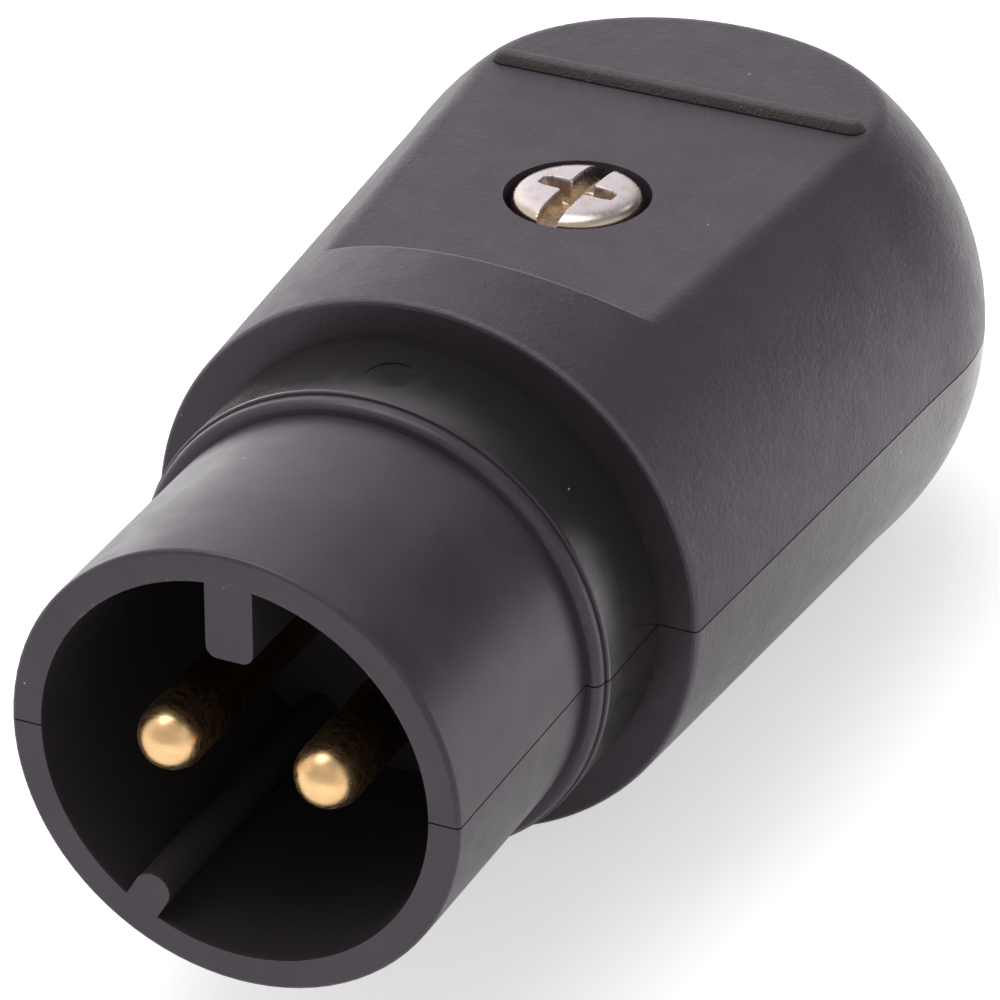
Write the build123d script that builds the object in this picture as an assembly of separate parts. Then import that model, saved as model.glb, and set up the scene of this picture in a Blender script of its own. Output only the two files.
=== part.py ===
from build123d import *
import math
import os

# Two-pole low voltage plug in a moulded housing of two half shells.
# The plug's axis is Y: the collar's front face is at Y = 0 and the cable leaves at the rear.
# The shells part on the plane Z = 0, and the screw side is up. All sizes are in millimetres.

# Collar: the round shroud that enters the socket
collar_radius = 13.6
collar_wall = 1.85
collar_length = 16.3
collar_edge_round = 0.3
bore_depth = 21.0

# Sleeve: the short step behind the collar, with a rounded lip at its front
sleeve_step = 1.0
sleeve_length = 7.7
sleeve_edge_round = 0.12
lip_step = 0.82
lip_length = 0.9
lip_edge_round = 0.5
sleeve_mark_radius = 1.45
sleeve_mark_depth = 0.12
sleeve_mark_from_shoulder = 3.9

# Key rib at the top of the bore, and round coding peg at its lower left
key_width = 2.85
key_height = 4.65
key_corner_round = 0.7
peg_radius = 1.08
peg_from_axis = 10.4
peg_angle = 60.0
rib_root = 0.5

# Housing: round at the shoulder, wider towards the rear, closed by a domed end
shoulder_width = 2.4
shoulder_edge_round = 0.4
taper_length = 35.6
rear_half_width = 19.3
rear_half_height = 18.5
dome_length = 16.2
dome_cut = 0.9
taper_sections = 9
dome_sections = 6
wall = 2.2

# Flat facets, above and below, with a ramp that climbs to the round front of the housing
facet_height = 14.1
facet_setback = 8.7
ramp_angle = 49.0
facet_edge_round = 1.5
crest_round = 0.3

# Rough bar across the upper facet
bar_radius = 0.95
bar_sunk = 0.3
bar_half_length = 12.2
bar_from_rear = 15.3

# Seam between the shells
seam_half_width = 0.05
seam_depth = 0.25

# Housing screw, its nut and the boss around them
screw_from_shoulder = 21.1
screw_radius = 2.0
screw_head_radius = 3.9
screw_head_side = 1.5
screw_dome_radius = 6.5
screw_head_recess = 0.35
screw_end_gap = 0.4
screw_hole_clearance = 0.2
counterbore_clearance = 0.48
boss_wall = 1.0
slot_width = 1.15
slot_depth = 1.5
cross_width = 0.95
cross_span = 4.7
cross_depth = 1.9
slot_turn = 83.0
nut_across_flats = 7.0
nut_thickness = 3.2
nut_recess = 0.5
nut_clearance = 0.1
nut_hole_clearance = 0.05

# Contact pins
pin_spacing = 9.54
pin_radius = 2.0
pin_tip_setback = 0.3
pin_root_radius = 2.3
pin_flange_radius = 3.0
pin_flange_length = 2.0
pin_flange_from_bore = 3.0
pin_barrel_radius = 2.8
pin_barrel_behind_wall = 7.5
pin_clearance = 0.05
wire_hole_radius = 1.3
wire_hole_depth = 10.0

# Terminal screws in the pins
terminal_from_barrel_end = 3.4
terminal_radius = 1.45
terminal_head_radius = 2.3
terminal_head_height = 1.7
terminal_flat_depth = 0.35
terminal_tip_height = 0.6
terminal_slot_width = 0.7
terminal_slot_depth = 0.9
terminal_clearance = 0.05

# Bulkhead that holds the pins, and the pegs that locate the shells
bulkhead_thickness = 10.0
locator_radius = 1.2
locator_height = 2.0
locator_clearance = 0.1
front_locator_x = 12.0
front_locator_from_bore = 6.5
rear_locator_x = 8.6
rear_locator_from_cavity = 2.4

# Cable inlet, cable seat and strap
inlet_radius = 4.5
inlet_mouth = 0.6
rear_wall = 6.0
seat_width = 6.0
seat_from_rear = 18.9
strap_half_length = 12.9
strap_foot = 3.0
strap_thickness = 2.3
strap_crown_half_width = 5.1
strap_corner_round = 0.8
clamp_screw_x = 9.6
clamp_screw_radius = 1.4
clamp_screw_length = 9.5
clamp_head_radius = 2.6
clamp_head_height = 1.7
clamp_dome_radius = 3.6
clamp_cross_width = 0.8
clamp_cross_span = 3.0
clamp_cross_depth = 1.0
clamp_screw_clearance = 0.05
clamp_tip_gap = 0.5

# Places along the axis, and sizes that follow from the values above
bore_radius = collar_radius - collar_wall
lip_radius = collar_radius + lip_step
lip_end_y = collar_length + lip_length
sleeve_radius = collar_radius + sleeve_step
shoulder_y = collar_length + sleeve_length
rim_radius = sleeve_radius + shoulder_width
cheek_y = shoulder_y + taper_length
rear_y = cheek_y + dome_length - dome_cut
facet_y = shoulder_y + facet_setback
screw_y = shoulder_y + screw_from_shoulder
seat_plane = facet_height - screw_head_recess - screw_head_side
bulkhead_y = bore_depth + bulkhead_thickness
cavity_rear_y = rear_y - rear_wall
seat_y = rear_y - seat_from_rear
barrel_rear_y = bulkhead_y + pin_barrel_behind_wall
terminal_y = barrel_rear_y - terminal_from_barrel_end
counterbore_radius = screw_head_radius + counterbore_clearance
boss_radius = counterbore_radius + boss_wall
nut_floor = facet_height - nut_recess - nut_thickness
strap_top = inlet_radius + strap_thickness
big = 4 * rear_half_width
overshoot = 1.0
tiny = 0.01


def span_box(x, y, z):
    """A box between two values on each axis."""
    size = [high - low for low, high in (x, y, z)]
    middle = [(low + high) / 2 for low, high in (x, y, z)]
    return Pos(*middle) * Box(*size)


def rod_y(radius, y_from, y_to, x=0.0, z=0.0):
    """A round bar along the plug's axis."""
    place = Plane(origin=(x, y_from, z), z_dir=(0, 1, 0))
    return extrude(place * Circle(radius), y_to - y_from)


def rod_z(radius, z_from, z_to, x=0.0, y=0.0):
    """A round bar that stands upright."""
    return extrude(Plane.XY.offset(z_from) * Pos(x, y) * Circle(radius), z_to - z_from)


def upper_half(shape):
    return shape & span_box((-big, big), (-big, 2 * big), (0, big))


def lower_half(shape):
    return shape & span_box((-big, big), (-big, 2 * big), (-big, 0))


# Outer form

def collar_and_sleeve():
    """The turned front of the plug: collar, lip and sleeve."""
    outline = FilletPolyline(
        (0, 0),
        (collar_radius, 0),
        (collar_radius, collar_length),
        (lip_radius, collar_length),
        (lip_radius, lip_end_y),
        (sleeve_radius, lip_end_y),
        (sleeve_radius, shoulder_y + overshoot),
        (0, shoulder_y + overshoot),
        radius=[0, collar_edge_round, 0, lip_edge_round, 0, sleeve_edge_round, 0, 0],
        close=True,
    )
    return revolve(make_face(outline), Axis.Y)


def housing_section(y, inset=0.0):
    """Elliptical section of the housing, before the facets are cut."""
    along = min((y - shoulder_y) / taper_length, 1)
    half_width = rim_radius + (rear_half_width - rim_radius) * along - inset
    half_height = rim_radius + (rear_half_height - rim_radius) * along - inset
    into_dome = max(y - cheek_y, 0) / (dome_length - inset)
    shrink = math.sqrt(1 - into_dome**2)
    return Plane.XZ.offset(-y) * Ellipse(half_width * shrink, half_height * shrink)


def round_housing(inset=0.0):
    """The housing behind the shoulder before it is flattened, smaller all round by the inset."""
    places = [shoulder_y + i * taper_length / taper_sections for i in range(taper_sections)]
    reach = dome_length - inset
    end_angle = math.asin((rear_y - inset - cheek_y) / reach)
    for i in range(dome_sections + 1):
        places.append(cheek_y + reach * math.sin(end_angle * i / dome_sections))
    return loft([housing_section(y, inset) for y in places])


def inside_of_wall(inset, y_from, y_to):
    """The part of the housing deeper than the inset, between two places on the axis."""
    ceiling = facet_height - inset
    return round_housing(inset) & span_box((-big, big), (y_from, y_to), (-ceiling, ceiling))


def ahead_of_ramps():
    """The space in front of the two ramps that climb from the facets."""
    rise = rear_half_height
    climb = rise / math.tan(math.radians(ramp_angle))
    top = facet_height + rise
    outline = Polyline(
        (-big, top),
        (facet_y - climb, top),
        (facet_y, facet_height),
        (facet_y, -facet_height),
        (facet_y - climb, -top),
        (-big, -top),
        close=True,
    )
    return extrude(Plane.YZ * make_face(outline), big, both=True)


def curved_edges(shape, wanted):
    """The edges of a shape that aren't straight and whose middle passes the test."""
    curved = [edge for edge in shape.edges() if edge.geom_type != GeomType.LINE]
    return [edge for edge in curved if wanted(edge @ 0.5)]


def housing_body():
    """The housing with its flat facets, the ramps up to its round front, and softened edges."""
    whole = round_housing()
    flat = whole & span_box((-big, big), (-big, 2 * big), (-facet_height, facet_height))
    outlines = curved_edges(flat, lambda p: facet_height - abs(p.Z) < tiny)
    body = fillet(outlines, facet_edge_round) + (whole & ahead_of_ramps())
    rim = curved_edges(body, lambda p: p.Y - shoulder_y < tiny)
    body = fillet(rim, shoulder_edge_round)
    front = shoulder_y + shoulder_edge_round + tiny
    crests = curved_edges(body, lambda p: p.Y > front and abs(p.Z) > facet_height + tiny)
    return fillet(crests, crest_round)


def outer_form():
    """The whole outside of the plug, as one solid."""
    mark = rod_z(
        sleeve_mark_radius,
        sleeve_radius - sleeve_mark_depth,
        rim_radius,
        y=shoulder_y - sleeve_mark_from_shoulder,
    )
    return collar_and_sleeve() + housing_body() - mark


def rough_bar():
    """The half-round bar with round ends that stands on the upper facet."""
    reach = bar_half_length - bar_radius
    bar = Rot(0, 90, 0) * Cylinder(bar_radius, 2 * reach)
    for side in (-1, 1):
        bar += Pos(side * reach) * Sphere(bar_radius)
    return Pos(0, rear_y - bar_from_rear, facet_height - bar_sunk) * bar


# Inside of the shells

def bore_cut():
    """The hollow of the collar, with its key rib and coding peg left standing."""
    bore = rod_y(bore_radius, -overshoot, bore_depth)
    root = bore_radius + rib_root
    key_tip = bore_radius - key_height
    outline = FilletPolyline(
        (-key_width / 2, root),
        (-key_width / 2, key_tip),
        (key_width / 2, key_tip),
        (key_width / 2, root),
        radius=[0, key_corner_round, key_corner_round, 0],
        close=True,
    )
    key = extrude(Plane.XZ * make_face(outline), -bore_depth)
    turn = Rot(0, -peg_angle, 0)
    peg = rod_y(peg_radius, 0, bore_depth, x=-peg_from_axis)
    web = span_box((-root, -peg_from_axis), (0, bore_depth), (-peg_radius, peg_radius))
    return bore - key - turn * (peg + web)


def cable_way():
    """Room for the cable, from its seat out through the rear."""
    return rod_y(inlet_radius, seat_y, rear_y + overshoot)


def screw_boss():
    return rod_z(boss_radius, -facet_height, facet_height, y=screw_y)


def cavity():
    """The wiring space between the bulkhead and the rear wall."""
    return inside_of_wall(wall, bulkhead_y, cavity_rear_y) - screw_boss()


def cable_seat():
    """The rib across the lower shell that carries the cable and the strap."""
    rib = lower_half(inside_of_wall(wall / 2, seat_y, seat_y + seat_width)) - cable_way()
    for side in (-1, 1):
        radius = clamp_screw_radius + clamp_screw_clearance
        depth = clamp_screw_length - strap_foot + clamp_tip_gap
        rib -= rod_z(radius, -depth, overshoot, side * clamp_screw_x, seat_y + seat_width / 2)
    return rib


def seam_core():
    """Plan of the plug on the parting plane, smaller all round by the seam's depth."""
    lip = lip_radius - seam_depth
    sleeve = sleeve_radius - seam_depth
    step_y = collar_length + seam_depth
    sleeve_y = lip_end_y + seam_depth
    reach = (rear_half_width - seam_depth, dome_length - seam_depth)
    sweep = math.degrees(math.asin((rear_y - seam_depth - cheek_y) / reach[1]))
    dome = EllipticalCenterArc((0, cheek_y), *reach, 0, arc_size=sweep)
    side = Polyline(
        (0, dome.position_at(1).Y),
        (0, seam_depth),
        (collar_radius - seam_depth, seam_depth),
        (collar_radius - seam_depth, step_y),
        (lip, step_y),
        (lip, sleeve_y),
        (sleeve, sleeve_y),
        (sleeve, shoulder_y + seam_depth),
        (rim_radius - seam_depth, shoulder_y + seam_depth),
        dome.position_at(0),
    )
    half = make_face([side, dome, Line(dome.position_at(1), side.position_at(0))])
    return extrude(half + mirror(half, Plane.YZ), 2 * seam_half_width, both=True)


def seam_cut():
    """The fine groove along the parting line of the shells."""
    gap = span_box((-big, big), (-big, 2 * big), (-seam_half_width, seam_half_width))
    return gap - seam_core()


def locators(clearance=0.0):
    """Pegs of the lower shell, and with a clearance their sockets in the upper one."""
    places = []
    for side in (-1, 1):
        places.append((side * front_locator_x, bore_depth + front_locator_from_bore))
        places.append((side * rear_locator_x, cavity_rear_y + rear_locator_from_cavity))
    top = locator_height + clearance
    return [rod_z(locator_radius + clearance, -overshoot, top, x, y) for x, y in places]


# Contact pins and terminal screws

def pin_blank(clearance=0.0):
    """A turned pin on the plug's axis, or with a clearance the seat that holds it."""
    tip_y = pin_tip_setback + pin_radius
    flange_y = bore_depth + pin_flange_from_bore
    flange_end_y = flange_y + pin_flange_length
    shank = rod_y(pin_radius + clearance, tip_y, bore_depth)
    shank += Pos(0, tip_y) * Sphere(pin_radius + clearance)
    root = rod_y(pin_root_radius + clearance, bore_depth - clearance, flange_y)
    flange = rod_y(pin_flange_radius + clearance, flange_y - clearance, flange_end_y + clearance)
    barrel = rod_y(pin_barrel_radius + clearance, flange_end_y, barrel_rear_y)
    return shank + root + flange + barrel


def contact_pin(side):
    """Brass pin with a domed tip, a flange and a barrel with a wire hole."""
    flat_z = pin_barrel_radius - terminal_flat_depth
    pin = pin_blank()
    pin -= rod_y(wire_hole_radius, barrel_rear_y - wire_hole_depth, barrel_rear_y + overshoot)
    pin -= rod_z(terminal_radius + terminal_clearance, 0, big, y=terminal_y)
    pin -= span_box(
        (-pin_barrel_radius, pin_barrel_radius),
        (terminal_y - terminal_head_radius - pin_clearance, barrel_rear_y + overshoot),
        (flat_z, big),
    )
    return Pos(side * pin_spacing / 2) * pin


def terminal_screw(side):
    """Slotted cheese head screw that clamps the conductor in its barrel."""
    flat_z = pin_barrel_radius - terminal_flat_depth
    top = flat_z + terminal_head_height
    screw = rod_z(terminal_radius, terminal_tip_height, flat_z)
    screw += rod_z(terminal_head_radius, flat_z, top)
    half = terminal_slot_width / 2
    screw -= span_box((-half, half), (-big, big), (top - terminal_slot_depth, big))
    return Pos(side * pin_spacing / 2, terminal_y) * screw


# Housing screw and nut

def domed_head(radius, side_height, dome_radius):
    """A pan head and its height: upright side and a dome, with its underside at Z = 0."""
    rise = dome_radius - math.sqrt(dome_radius**2 - radius**2)
    centre = side_height + rise - dome_radius
    head = rod_z(radius, 0, side_height + rise)
    return head & Pos(0, 0, centre) * Sphere(dome_radius), side_height + rise


def housing_screw():
    """Pan head screw whose slot runs along one arm of its cross recess."""
    head, top = domed_head(screw_head_radius, screw_head_side, screw_dome_radius)
    drive = Box(2 * (screw_head_radius + overshoot), slot_width, 2 * slot_depth)
    drive += Box(cross_span, cross_width, 2 * cross_depth)
    drive += Box(cross_width, cross_span, 2 * cross_depth)
    head -= Pos(0, 0, top) * Rot(0, 0, slot_turn) * drive
    length = seat_plane + facet_height - nut_recess - screw_end_gap
    screw = head + rod_z(screw_radius, -length, 0)
    return Pos(0, screw_y, seat_plane) * screw


def nut_blank(clearance=0.0):
    apothem = nut_across_flats / 2 + clearance
    hexagon = RegularPolygon(apothem, 6, major_radius=False)
    return Pos(0, screw_y, -nut_floor) * extrude(hexagon, -nut_thickness)


def housing_nut():
    nut = nut_blank()
    hole = rod_z(screw_radius + nut_hole_clearance, -big, big, y=screw_y)
    return nut - hole


# Strap over the cable

def cord_clamp():
    """Saddle with two feet that holds the cable down on its seat."""
    outline = FilletPolyline(
        (-strap_half_length, 0),
        (-strap_half_length, strap_foot),
        (-strap_top, strap_foot),
        (-strap_crown_half_width, strap_top),
        (strap_crown_half_width, strap_top),
        (strap_top, strap_foot),
        (strap_half_length, strap_foot),
        (strap_half_length, 0),
        radius=[0, strap_corner_round, 0, strap_thickness, strap_thickness, 0, strap_corner_round, 0],
        close=True,
    )
    strap = Pos(0, seat_y) * extrude(Plane.XZ * make_face(outline), -seat_width)
    strap -= cable_way()
    for side in (-1, 1):
        radius = clamp_screw_radius + clamp_screw_clearance
        strap -= rod_z(radius, -overshoot, big, side * clamp_screw_x, seat_y + seat_width / 2)
    return strap


def cord_clamp_screw(side):
    """Small pan head screw with a cross recess."""
    dome = clamp_dome_radius - math.sqrt(clamp_dome_radius**2 - clamp_head_radius**2)
    head, top = domed_head(clamp_head_radius, clamp_head_height - dome, clamp_dome_radius)
    for turn in (0, 90):
        arm = Box(clamp_cross_span, clamp_cross_width, 2 * clamp_cross_depth)
        head -= Pos(0, 0, top) * Rot(0, 0, turn) * arm
    screw = head + rod_z(clamp_screw_radius, -clamp_screw_length, 0)
    return Pos(side * clamp_screw_x, seat_y + seat_width / 2, strap_foot) * screw


# Shells

def inlet_mouth_cut():
    """The flared mouth of the cable inlet, on the rear flat."""
    mouth = Cone(inlet_radius, inlet_radius + 2 * inlet_mouth, 2 * inlet_mouth)
    return Pos(0, rear_y) * Rot(-90, 0, 0) * mouth


def shells():
    """Both half shells, cut from one hollow housing."""
    cuts = [bore_cut(), cavity(), cable_way(), inlet_mouth_cut()]
    cuts.append(rod_z(screw_radius + screw_hole_clearance, -big, big, y=screw_y))
    for side in (-1, 1):
        cuts.append(Pos(side * pin_spacing / 2) * pin_blank(pin_clearance))
    hollow = outer_form() - cuts
    seam = seam_cut()

    upper = upper_half(hollow) - seam + upper_half(rough_bar())
    upper -= [rod_z(counterbore_radius, seat_plane, big, y=screw_y)] + locators(locator_clearance)

    pocket = nut_blank(nut_clearance) + Pos(0, 0, -nut_thickness) * nut_blank(nut_clearance)
    lower = lower_half(hollow) - seam - pocket + cable_seat() + locators()
    return upper, lower


def main():
    upper, lower = shells()
    parts = {
        "upper_shell": upper,
        "lower_shell": lower,
        "housing_screw": housing_screw(),
        "housing_nut": housing_nut(),
        "cord_clamp": cord_clamp(),
    }
    for name, side in (("left", -1), ("right", 1)):
        parts[f"contact_pin_{name}"] = contact_pin(side)
        parts[f"terminal_screw_{name}"] = terminal_screw(side)
        parts[f"cord_clamp_screw_{name}"] = cord_clamp_screw(side)
    os.makedirs("parts", exist_ok=True)
    for name, shape in parts.items():
        export_step(shape, f"parts/{name}.step")


if __name__ == "__main__":
    main()
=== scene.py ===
import math

import bpy
from mathutils import Euler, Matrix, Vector


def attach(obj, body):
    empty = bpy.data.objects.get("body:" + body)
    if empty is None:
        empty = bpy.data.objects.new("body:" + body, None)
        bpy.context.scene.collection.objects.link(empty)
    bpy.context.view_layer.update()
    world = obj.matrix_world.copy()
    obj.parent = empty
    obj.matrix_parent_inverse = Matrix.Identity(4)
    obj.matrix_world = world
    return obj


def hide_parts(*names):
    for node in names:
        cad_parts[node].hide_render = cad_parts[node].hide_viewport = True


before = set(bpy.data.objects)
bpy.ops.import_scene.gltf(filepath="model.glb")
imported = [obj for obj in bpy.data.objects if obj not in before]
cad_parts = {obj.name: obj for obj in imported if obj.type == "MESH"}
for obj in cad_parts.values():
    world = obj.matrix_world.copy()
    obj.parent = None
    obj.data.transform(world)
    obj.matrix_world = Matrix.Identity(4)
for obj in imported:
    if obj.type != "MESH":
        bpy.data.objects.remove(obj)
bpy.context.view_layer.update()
MM = 0.001

# Camera of the photograph, in the plug's own frame
CAMERA_PLACE = Vector((143.97, -273.76, 194.55)) * MM
CAMERA_TURN = Euler((math.radians(60.12), math.radians(0.12), math.radians(24.98)))
CAMERA_LENS = 242.6
CAMERA_SENSOR = 36.0
CAMERA_CLIP = 10 * MM

# Places on the plug
BORE_RADIUS = 11.75 * MM
SLEEVE_START = 17.5 * MM
SHOULDER = 24.0 * MM
SHOULDER_RIM_RADIUS = 16.6 * MM
FACET = 14.1 * MM
FACET_FRONT = 32.7 * MM
BAR = 59.6 * MM
BAR_REACH = 1.0 * MM
SCREW_PLACE = Vector((0, 45.1, 12.25)) * MM
SCREW_TURN = math.radians(86)

# Colours and roughness of the plastic
HOUSING_DARK = (0.035, 0.0280, 0.0365, 1)
HOUSING_LIGHT = (0.049, 0.0405, 0.0510, 1)
# Painted shade: the sleeve under the shoulder's overhang is coloured darker than the housing
SLEEVE_PAINTED_SHADE = (0.018, 0.016, 0.017, 1)
# Painted shade inside the bore
BORE_PAINTED_SHADE = (0.030, 0.026, 0.027, 1)
BAR_BLACK = (0.040, 0.038, 0.033, 1)
BAR_SPARKLE = (0.20, 0.19, 0.17, 1)
# Painted highlight along the upward-facing top of the bar
BAR_TOP_HIGHLIGHT = (0.11, 0.10, 0.10, 1)
# Painted highlight for the rounded crest in front of the facet and for the shoulder's rim
EDGE_HIGHLIGHT = (0.12, 0.105, 0.125, 1)
FLASH = (0.16, 0.13, 0.12, 1)
DUST = (0.5, 0.46, 0.45, 1)
COLLAR_ROUGHNESS = 0.36
SLEEVE_ROUGHNESS = 0.24
BORE_ROUGHNESS = 0.4
UPPER_ROUGHNESS = 0.5
LOWER_ROUGHNESS = 0.31
BAR_ROUGHNESS = 0.62

# Colours of the metals, each with its stain
BRASS = (0.95, 0.62, 0.31), (0.88, 0.55, 0.27)
# Painted shade for the pins' shanks deep in the bore
BRASS_PAINTED_SHADE = (0.30, 0.18, 0.08)
NICKEL = (0.57, 0.51, 0.53), (0.50, 0.42, 0.38)
NICKEL_RECESS = (0.66, 0.55, 0.45)
ZINC = (0.7, 0.7, 0.68), (0.62, 0.61, 0.56)

# Slopes in the shading alone, fitted to the photo's tones: the sleeve's lean and the draft below the seam
SLEEVE_LEAN = 0.12
LOWER_DRAFT = 0.2
DRAFT_REACH = 8.0 * MM

# The two lowest places of the plug, through which the floor lies
REST_CREST = Vector((0, 30.0, -17.25)) * MM
REST_REAR = Vector((0, 70.3, -14.1)) * MM

# Soft panels of the studio, fitted to the photo's tones. A negative strength takes light away.
# Each has its direction from the plug, inner angle, outer angle and strength.
PANELS = [
    ((-0.20, 0.02, 0.98), 14, 28, 2.3),
    ((0.28, 0.69, 0.67), 3, 8, 1.6),
    ((-0.50, 0.70, 0.42), 16, 42, 0.80),
    ((0.65, 0.70, 0.30), 12, 40, -0.22),
    ((-0.95, 0.1, 0.3), 25, 60, 0.5),
    ((0.95, -0.1, 0.15), 20, 50, 0.35),
    ((0.0, -0.98, 0.2), 30, 80, 0.22),
    ((-0.33, -0.30, 0.87), 6, 18, 2.5),
]
STUDIO_LEVEL = 0.34
FLOOR_SIZE = 3.0
FLOOR_COLOUR = (0.8, 0.8, 0.8, 1)

# Glow that the floor adds where the camera sees it, and, from front to rear, where the plug mirrors it.
# The second is brighter than a real floor would be, and is fitted to the photo's tones too.
FLOOR_SEEN_LIFT = 0.55
FLOOR_MIRRORED_LIFT = (0.4, 2.1)


def new_material(name):
    material = bpy.data.materials.new(name)
    material.use_nodes = True
    nodes = material.node_tree.nodes
    return material, nodes, material.node_tree.links, nodes["Principled BSDF"]


def add_node(nodes, kind, settings=None, **inputs):
    """A shader node, with its settings and its input values."""
    node = nodes.new(kind)
    for key, value in (settings or {}).items():
        setattr(node, key, value)
    for key, value in inputs.items():
        node.inputs[key.replace("_", " ")].default_value = value
    return node


def give(node_name, material):
    obj = bpy.data.objects[node_name]
    obj.data.materials.clear()
    obj.data.materials.append(material)


class Graph:
    """Short names for the nodes that the materials share."""

    def __init__(self, material):
        self.nodes = material.node_tree.nodes
        self.links = material.node_tree.links
        self.place = self.nodes.new("ShaderNodeTexCoord").outputs["Object"]
        split = self.nodes.new("ShaderNodeSeparateXYZ")
        self.links.new(self.place, split.inputs[0])
        self.x, self.y, self.z = split.outputs

    def facing(self):
        """The parts of the surface's direction along X, Y and Z."""
        split = self.nodes.new("ShaderNodeSeparateXYZ")
        self.links.new(self.nodes.new("ShaderNodeNewGeometry").outputs["Normal"], split.inputs[0])
        return split.outputs

    def join(self, value, socket):
        if hasattr(value, "is_linked"):
            self.links.new(value, socket)
        else:
            socket.default_value = value

    def math(self, operation, first, second=0.0):
        node = add_node(self.nodes, "ShaderNodeMath", {"operation": operation})
        self.join(first, node.inputs[0])
        self.join(second, node.inputs[1])
        return node.outputs[0]

    def rise(self, value, low, high, start=0.0, end=1.0):
        """From start to end, smoothly, as the value goes from low to high."""
        node = add_node(self.nodes, "ShaderNodeMapRange", {"interpolation_type": "SMOOTHSTEP"})
        self.join(value, node.inputs["Value"])
        node.inputs["From Min"].default_value = low
        node.inputs["From Max"].default_value = high
        node.inputs["To Min"].default_value = start
        node.inputs["To Max"].default_value = end
        return node.outputs["Result"]

    def noise(self, size, detail=2.0, roughness=0.5, place=None):
        """Noise whose grains are about the given size."""
        node = add_node(self.nodes, "ShaderNodeTexNoise", Scale=1 / size, Detail=detail, Roughness=roughness)
        self.links.new(place or self.place, node.inputs["Vector"])
        return node.outputs["Fac"]

    def stretched(self, scale, turn=(0, 0, 0)):
        node = add_node(self.nodes, "ShaderNodeMapping", Scale=scale, Rotation=turn)
        self.links.new(self.place, node.inputs["Vector"])
        return node.outputs["Vector"]

    def mix(self, fac, first, second):
        node = add_node(self.nodes, "ShaderNodeMix", {"data_type": "FLOAT"})
        self.join(fac, node.inputs[0])
        self.join(first, node.inputs[2])
        self.join(second, node.inputs[3])
        return node.outputs[0]

    def blend(self, fac, first, second):
        node = add_node(self.nodes, "ShaderNodeMix", {"data_type": "RGBA"})
        self.join(fac, node.inputs[0])
        self.join(first, node.inputs[6])
        self.join(second, node.inputs[7])
        return node.outputs[2]

    def bump(self, height, distance, strength=1.0, normal=None):
        node = add_node(self.nodes, "ShaderNodeBump", Strength=strength, Distance=distance)
        self.links.new(height, node.inputs["Height"])
        if normal:
            self.links.new(normal, node.inputs["Normal"])
        return node.outputs["Normal"]

    def specks(self, spacing, radius, share, place=None):
        """Sparse specks: 1 inside a speck and 0 outside."""
        cells = add_node(self.nodes, "ShaderNodeTexVoronoi", Scale=1 / spacing)
        self.links.new(place or self.place, cells.inputs["Vector"])
        near = self.rise(cells.outputs["Distance"], radius / spacing, 0.6 * radius / spacing)
        split = self.nodes.new("ShaderNodeSeparateColor")
        self.links.new(cells.outputs["Color"], split.inputs[0])
        kept = self.math("LESS_THAN", split.outputs[0], share)
        return self.math("MULTIPLY", near, kept)


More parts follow.
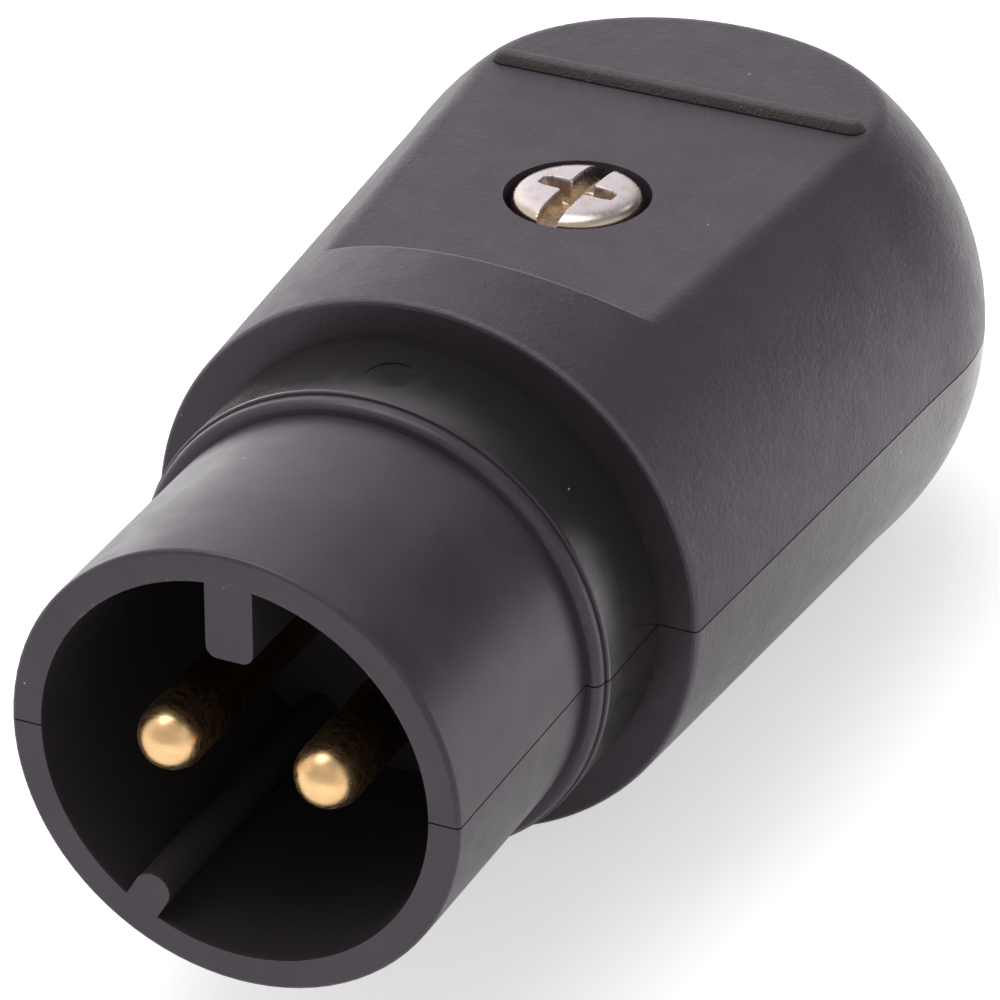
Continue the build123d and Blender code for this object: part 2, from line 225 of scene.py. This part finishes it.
def plastic():
    """Black moulded plastic: spark-eroded grain on the housing, smooth on the collar, sleeve and bore;
    painted shade on the sleeve and in the bore, painted highlights on the crest, the shoulder's rim and the
    bar's top.
    """
    material, nodes, links, shader = new_material("housing_plastic")
    g = Graph(material)
    housing = g.rise(g.y, SHOULDER - 0.05 * MM, SHOULDER + 0.1 * MM)
    sleeve = g.math("SUBTRACT", g.rise(g.y, SLEEVE_START - 0.5 * MM, SLEEVE_START), housing)
    radius = g.math("SQRT", g.math("ADD", g.math("MULTIPLY", g.x, g.x), g.math("MULTIPLY", g.z, g.z)))
    inside = g.math("MULTIPLY", g.rise(g.y, 0.1 * MM, 0.4 * MM), g.rise(g.y, SHOULDER, SHOULDER - 0.1 * MM))
    bore = g.math("MULTIPLY", g.math("LESS_THAN", radius, BORE_RADIUS + 0.1 * MM), inside)
    across = g.math("ABSOLUTE", g.math("SUBTRACT", g.y, BAR))
    bar = g.math("MULTIPLY", g.rise(across, BAR_REACH, 0.9 * BAR_REACH), g.rise(g.z, FACET, FACET + 0.1 * MM))
    facing = g.facing()
    # Painted highlight along the rounded crest in front of the facet and, half as strong, along the
    # shoulder's rim
    before_ramp = g.rise(g.y, FACET_FRONT, FACET_FRONT - 0.5 * MM)
    turned_back = g.math("MULTIPLY", g.rise(facing[1], 0.02, 0.2), g.rise(facing[1], 0.72, 0.5))
    above = g.rise(g.z, FACET, FACET + 0.2 * MM)
    crest = g.math("MULTIPLY", g.math("MULTIPLY", turned_back, before_ramp), above)
    turned_front = g.math("MULTIPLY", g.rise(facing[1], -0.2, -0.4), g.rise(facing[1], -0.95, -0.8))
    at_rim = g.rise(radius, SHOULDER_RIM_RADIUS - 0.4 * MM, SHOULDER_RIM_RADIUS)
    rim = g.math("MULTIPLY", turned_front, at_rim)
    rim = g.math("MULTIPLY", rim, g.rise(g.y, SHOULDER + 1.2 * MM, SHOULDER + 0.6 * MM))
    edge_highlight = g.math("ADD", crest, g.math("MULTIPLY", rim, 0.5))

    cloud = g.noise(5 * MM, 3)
    speckle = g.noise(0.22 * MM, 2, 0.6)
    shade = g.mix(0.45, g.rise(cloud, 0.35, 0.65), g.rise(speckle, 0.3, 0.7))
    colour = g.blend(shade, HOUSING_DARK, HOUSING_LIGHT)
    # Painted shade on the sleeve under the shoulder
    colour = g.blend(sleeve, colour, SLEEVE_PAINTED_SHADE)
    # Painted shade inside the bore
    colour = g.blend(bore, colour, BORE_PAINTED_SHADE)
    # Painted highlight where the bar faces up
    top_highlight = g.math("MULTIPLY", bar, g.rise(facing[2], 0.8, 0.97))
    colour = g.blend(bar, colour, BAR_BLACK)
    sparkle = g.math("MULTIPLY", bar, g.rise(g.noise(0.16 * MM, 2, 0.7), 0.6, 0.72))
    colour = g.blend(g.math("MULTIPLY", sparkle, 0.8), colour, BAR_SPARKLE)
    colour = g.blend(top_highlight, colour, BAR_TOP_HIGHLIGHT)
    # Lighter colour along the crest and the rim: a painted highlight
    colour = g.blend(edge_highlight, colour, EDGE_HIGHLIGHT)
    at_edge = g.rise(g.math("ABSOLUTE", g.math("SUBTRACT", radius, BORE_RADIUS)), 0.3 * MM, 0.1 * MM)
    flash = g.math("MULTIPLY", at_edge, g.rise(g.z, 4 * MM, 8 * MM))
    flash = g.math("MULTIPLY", flash, g.rise(g.y, 0.8 * MM, 0.3 * MM))
    flash = g.math("MULTIPLY", flash, g.rise(g.noise(0.5 * MM, 4, 0.7), 0.52, 0.66))
    colour = g.blend(g.math("MULTIPLY", flash, 0.6), colour, FLASH)
    dust = g.specks(2.6 * MM, 0.08 * MM, 0.25)
    scratches = g.specks(1.7 * MM, 0.035 * MM, 0.3, g.stretched((0.5, 0.09, 0.5), (0.2, 0.1, 0.9)))
    marks = g.math("ADD", dust, g.math("MULTIPLY", g.math("MULTIPLY", scratches, housing), 0.12))
    colour = g.blend(g.math("MULTIPLY", marks, g.math("SUBTRACT", 1.0, bore)), colour, DUST)
    links.new(colour, shader.inputs["Base Color"])

    smear = g.noise(1.6 * MM, 3, 0.6)
    worn = g.rise(smear, 0.3, 0.7, -0.03, 0.03)
    rough = g.mix(sleeve, COLLAR_ROUGHNESS, SLEEVE_ROUGHNESS)
    rough = g.mix(bore, rough, BORE_ROUGHNESS)
    across_seam = g.rise(g.z, -0.1 * MM, 0.1 * MM, LOWER_ROUGHNESS, UPPER_ROUGHNESS)
    rough = g.mix(housing, rough, across_seam)
    rough = g.mix(bar, rough, BAR_ROUGHNESS)
    links.new(g.math("ADD", rough, worn), shader.inputs["Roughness"])
    shader.inputs["IOR"].default_value = 1.5
    shader.inputs["Specular Tint"].default_value = (1.0, 0.84, 1.0, 1)

    grain = g.noise(0.16 * MM, 3, 0.6)
    pits = g.noise(0.45 * MM, 2, 0.5)
    relief = g.math("MULTIPLY", g.math("ADD", grain, pits), housing)
    normal = g.bump(relief, 0.05 * MM)
    coarse = g.math("MULTIPLY", g.noise(0.2 * MM, 3, 0.7), bar)
    normal = g.bump(coarse, 0.35 * MM, normal=normal)
    satin = g.math("MULTIPLY", g.noise(0.12 * MM, 2), g.math("SUBTRACT", 1.0, g.math("ADD", housing, sleeve)))
    normal = g.bump(satin, 0.004 * MM, normal=normal)
    waist = g.math("MINIMUM", g.math("MAXIMUM", g.y, SLEEVE_START), SHOULDER)
    normal = g.bump(g.math("MULTIPLY", waist, -SLEEVE_LEAN), 1.0, normal=normal)
    below = g.math("MAXIMUM", g.math("MULTIPLY", g.z, -1.0), 0.0)
    eased = g.math("DIVIDE", below, g.math("ADD", 1.0, g.math("DIVIDE", below, DRAFT_REACH)))
    draft = g.math("MULTIPLY", eased, g.rise(g.y, SHOULDER, SHOULDER + 10 * MM, 0.0, -LOWER_DRAFT))
    normal = g.bump(draft, 1.0, normal=normal)
    links.new(normal, shader.inputs["Normal"])
    return material


def clamp_plastic():
    material, nodes, links, shader = new_material("clamp_plastic")
    g = Graph(material)
    colour = g.blend(g.noise(2 * MM, 3), (0.045, 0.045, 0.05, 1), (0.06, 0.06, 0.064, 1))
    links.new(colour, shader.inputs["Base Color"])
    links.new(g.rise(g.noise(0.8 * MM, 3), 0.3, 0.7, 0.4, 0.5), shader.inputs["Roughness"])
    links.new(g.bump(g.noise(0.2 * MM, 2), 0.01 * MM), shader.inputs["Normal"])
    return material


def metal(name, colour, stain, roughness, turned=(1, 1, 1), deep_shade=None, recess=None):
    """Plated metal with fine marks, faint stains and an uneven polish, with painted shade darkening it where
    it lies deep.
    """
    material, nodes, links, shader = new_material(name)
    g = Graph(material)
    patches = g.rise(g.noise(0.9 * MM, 4, 0.6), 0.45, 0.75)
    shade = g.blend(patches, (*colour, 1), (*stain, 1))
    # Painted shade, growing darker further back along Y, deep in the bore
    if deep_shade:
        shade = g.blend(g.rise(g.y, 2.5 * MM, 6 * MM), shade, (*deep_shade, 1))
    if recess:
        shade = g.blend(g.rise(g.z, FACET + 0.35 * MM, FACET), shade, (*recess, 1))
    links.new(shade, shader.inputs["Base Color"])
    shader.inputs["Metallic"].default_value = 1.0
    polish = g.noise(0.3 * MM, 3, place=g.stretched(turned))
    links.new(g.rise(polish, 0.3, 0.7, roughness - 0.04, roughness + 0.06), shader.inputs["Roughness"])
    marks = g.noise(0.12 * MM, 3, 0.6, place=g.stretched(turned))
    links.new(g.bump(marks, 0.001 * MM), shader.inputs["Normal"])
    return material


housing = plastic()
for node_name in ("upper_shell", "lower_shell"):
    give(node_name, housing)
give("cord_clamp", clamp_plastic())
brass = metal("brass", *BRASS, 0.28, turned=(0.4, 1.5, 0.4), deep_shade=BRASS_PAINTED_SHADE)
nickel = metal("nickel", *NICKEL, 0.24)
screw_nickel = metal("screw_nickel", *NICKEL, 0.24, recess=NICKEL_RECESS)
zinc = metal("zinc_steel", *ZINC, 0.3)
for side in ("left", "right"):
    give(f"contact_pin_{side}", brass)
    give(f"terminal_screw_{side}", zinc)
    give(f"cord_clamp_screw_{side}", zinc)
give("housing_screw", nickel)
give("housing_nut", nickel)


# The housing screw, with rounded edges and a worn recess. Its lengths are in millimetres.

HEAD_RADIUS = 3.9
HEAD_SIDE = 0.95
HEAD_CROWN = 1.4
HEAD_SHAPE = 4.0
SLOT_HALF_WIDTH = 0.56
SLOT_FLOOR = 1.05
CROSS_HALF_WIDTH = 0.42
CROSS_REACH = 1.9
CROSS_FLOOR = 0.65
HUB_REACH = 1.15
RECESS_STEEPNESS = 7.0
RECESS_END_STEEPNESS = 2.2
EDGE_SOFTNESS = 0.05
SHANK_RADIUS = 2.0
SHANK_END = -25.45
SHANK_CHAMFER = 0.5
HEAD_RINGS = 120
HEAD_SPOKES = 400


def soft_least(values):
    """The least of some heights, with the edges between them rounded."""
    total = sum(math.exp((min(values) - value) / EDGE_SOFTNESS) for value in values)
    return min(values) - EDGE_SOFTNESS * math.log(total)


def head_height(radius, angle):
    """Height of the screw's head over its seat, in millimetres."""
    share = min(radius / HEAD_RADIUS, 1)
    crown = HEAD_SIDE + HEAD_CROWN * (1 - share**HEAD_SHAPE) ** (1 / HEAD_SHAPE)
    u, v = abs(radius * math.cos(angle)), abs(radius * math.sin(angle))
    heights = [crown, SLOT_FLOOR + RECESS_STEEPNESS * max(v - SLOT_HALF_WIDTH, 0)]
    for along, beside in ((u, v), (v, u)):
        wall = RECESS_STEEPNESS * max(beside - CROSS_HALF_WIDTH, 0)
        end = RECESS_END_STEEPNESS * max(along - CROSS_REACH, 0)
        heights.append(CROSS_FLOOR + wall + end + 0.2 * along)
    heights.append(CROSS_FLOOR + RECESS_STEEPNESS * max((u + v - HUB_REACH) * 0.7, 0))
    return soft_least(heights) if radius < HEAD_RADIUS else min(heights)


def make_screw():
    turns = [2 * math.pi * j / HEAD_SPOKES for j in range(HEAD_SPOKES)]
    points = [(0, 0, head_height(0, 0))]
    for i in range(1, HEAD_RINGS + 1):
        radius = HEAD_RADIUS * math.sin(math.pi / 2 * i / HEAD_RINGS)
        points += [(radius * math.cos(a), radius * math.sin(a), head_height(radius, a)) for a in turns]
    shaft = [(HEAD_RADIUS, 0), (SHANK_RADIUS, 0)]
    shaft += [(SHANK_RADIUS, SHANK_END + SHANK_CHAMFER), (SHANK_RADIUS - SHANK_CHAMFER, SHANK_END)]
    for radius, height in shaft:
        points += [(radius * math.cos(a), radius * math.sin(a), height) for a in turns]
    points.append((0, 0, SHANK_END))
    rings = HEAD_RINGS + len(shaft)
    faces = []
    for j in range(HEAD_SPOKES):
        k = (j + 1) % HEAD_SPOKES
        faces.append((0, 1 + j, 1 + k))
        for i in range(rings - 1):
            near, far = 1 + i * HEAD_SPOKES, 1 + (i + 1) * HEAD_SPOKES
            faces.append((near + j, far + j, far + k, near + k))
        last = 1 + (rings - 1) * HEAD_SPOKES
        faces.append((last + j, len(points) - 1, last + k))
    mesh = bpy.data.meshes.new("screw")
    turn = Euler((0, 0, SCREW_TURN)).to_matrix()
    mesh.from_pydata([turn @ Vector(p) * MM + SCREW_PLACE for p in points], [], faces)
    mesh.polygons.foreach_set("use_smooth", [True] * len(mesh.polygons))
    mesh.set_sharp_from_angle(angle=math.radians(50))
    screw = bpy.data.objects.new("housing_screw_detail", mesh)
    bpy.context.collection.objects.link(screw)
    mesh.materials.append(screw_nickel)
    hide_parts("housing_screw")
    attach(screw, "root")


def make_floor():
    """A white floor, on the plane that the plug lies on, which keeps the plug's shadow."""
    along = REST_REAR - REST_CREST
    tilt = math.atan2(along.z, along.y)
    bpy.ops.mesh.primitive_plane_add(size=FLOOR_SIZE, location=REST_CREST, rotation=(tilt, 0, 0))
    floor = bpy.context.object
    floor.name = "floor"
    material, nodes, links, shader = new_material("floor")
    g = Graph(material)
    shader.inputs["Base Color"].default_value = FLOOR_COLOUR
    shader.inputs["Roughness"].default_value = 0.9
    shader.inputs["Specular IOR Level"].default_value = 0.0
    path = nodes.new("ShaderNodeLightPath")
    mirrored = g.math("MAXIMUM", path.outputs["Is Glossy Ray"], path.outputs["Is Transmission Ray"])
    lift = g.math("MULTIPLY", path.outputs["Is Camera Ray"], FLOOR_SEEN_LIFT)
    near = g.math("MULTIPLY", g.rise(g.x, 0.08, 0.04, 0.3, 1.0), g.rise(g.x, -0.04, 0.02, 0.65, 1.0))
    glare = g.math("MULTIPLY", near, g.rise(g.y, 0.01, 0.09, *FLOOR_MIRRORED_LIFT))
    lift = g.math("ADD", lift, g.math("MULTIPLY", mirrored, glare))
    glow = add_node(nodes, "ShaderNodeEmission", Color=(1, 1, 1, 1))
    links.new(lift, glow.inputs["Strength"])
    both = nodes.new("ShaderNodeAddShader")
    links.new(shader.outputs[0], both.inputs[0])
    links.new(glow.outputs[0], both.inputs[1])
    links.new(both.outputs[0], nodes["Material Output"].inputs["Surface"])
    floor.data.materials.append(material)


def make_world():
    """A white studio: an even level with soft panels, and plain white where the camera sees it."""
    world = bpy.data.worlds.new("studio")
    bpy.context.scene.world = world
    world.use_nodes = True
    nodes, links = world.node_tree.nodes, world.node_tree.links
    direction = nodes.new("ShaderNodeTexCoord").outputs["Generated"]
    total = add_node(nodes, "ShaderNodeValue")
    total.outputs[0].default_value = STUDIO_LEVEL
    for aim, inner, outer, strength in PANELS:
        facing = add_node(nodes, "ShaderNodeVectorMath", {"operation": "DOT_PRODUCT"})
        links.new(direction, facing.inputs[0])
        facing.inputs[1].default_value = Vector(aim).normalized()
        edge = add_node(nodes, "ShaderNodeMapRange", {"interpolation_type": "SMOOTHSTEP"})
        links.new(facing.outputs["Value"], edge.inputs["Value"])
        edge.inputs["From Min"].default_value = math.cos(math.radians(outer))
        edge.inputs["From Max"].default_value = math.cos(math.radians(inner))
        edge.inputs["To Max"].default_value = strength
        added = add_node(nodes, "ShaderNodeMath", {"operation": "ADD"})
        links.new(total.outputs[0], added.inputs[0])
        links.new(edge.outputs["Result"], added.inputs[1])
        total = added
    soft = nodes["Background"]
    soft.inputs["Color"].default_value = (1, 1, 1, 1)
    links.new(total.outputs[0], soft.inputs["Strength"])
    white = add_node(nodes, "ShaderNodeBackground", Color=(1, 1, 1, 1), Strength=1.0)
    path = nodes.new("ShaderNodeLightPath")
    mix = nodes.new("ShaderNodeMixShader")
    links.new(path.outputs["Is Camera Ray"], mix.inputs["Fac"])
    links.new(soft.outputs["Background"], mix.inputs[1])
    links.new(white.outputs["Background"], mix.inputs[2])
    links.new(mix.outputs["Shader"], nodes["World Output"].inputs["Surface"])


def make_camera():
    data = bpy.data.cameras.new("camera")
    data.lens = CAMERA_LENS
    data.sensor_width = CAMERA_SENSOR
    data.clip_start = CAMERA_CLIP
    camera = bpy.data.objects.new("camera", data)
    bpy.context.collection.objects.link(camera)
    camera.location = CAMERA_PLACE
    camera.rotation_euler = CAMERA_TURN
    bpy.context.scene.camera = camera


make_screw()
make_floor()
make_world()
make_camera()
bpy.context.scene.view_settings.view_transform = "Standard"
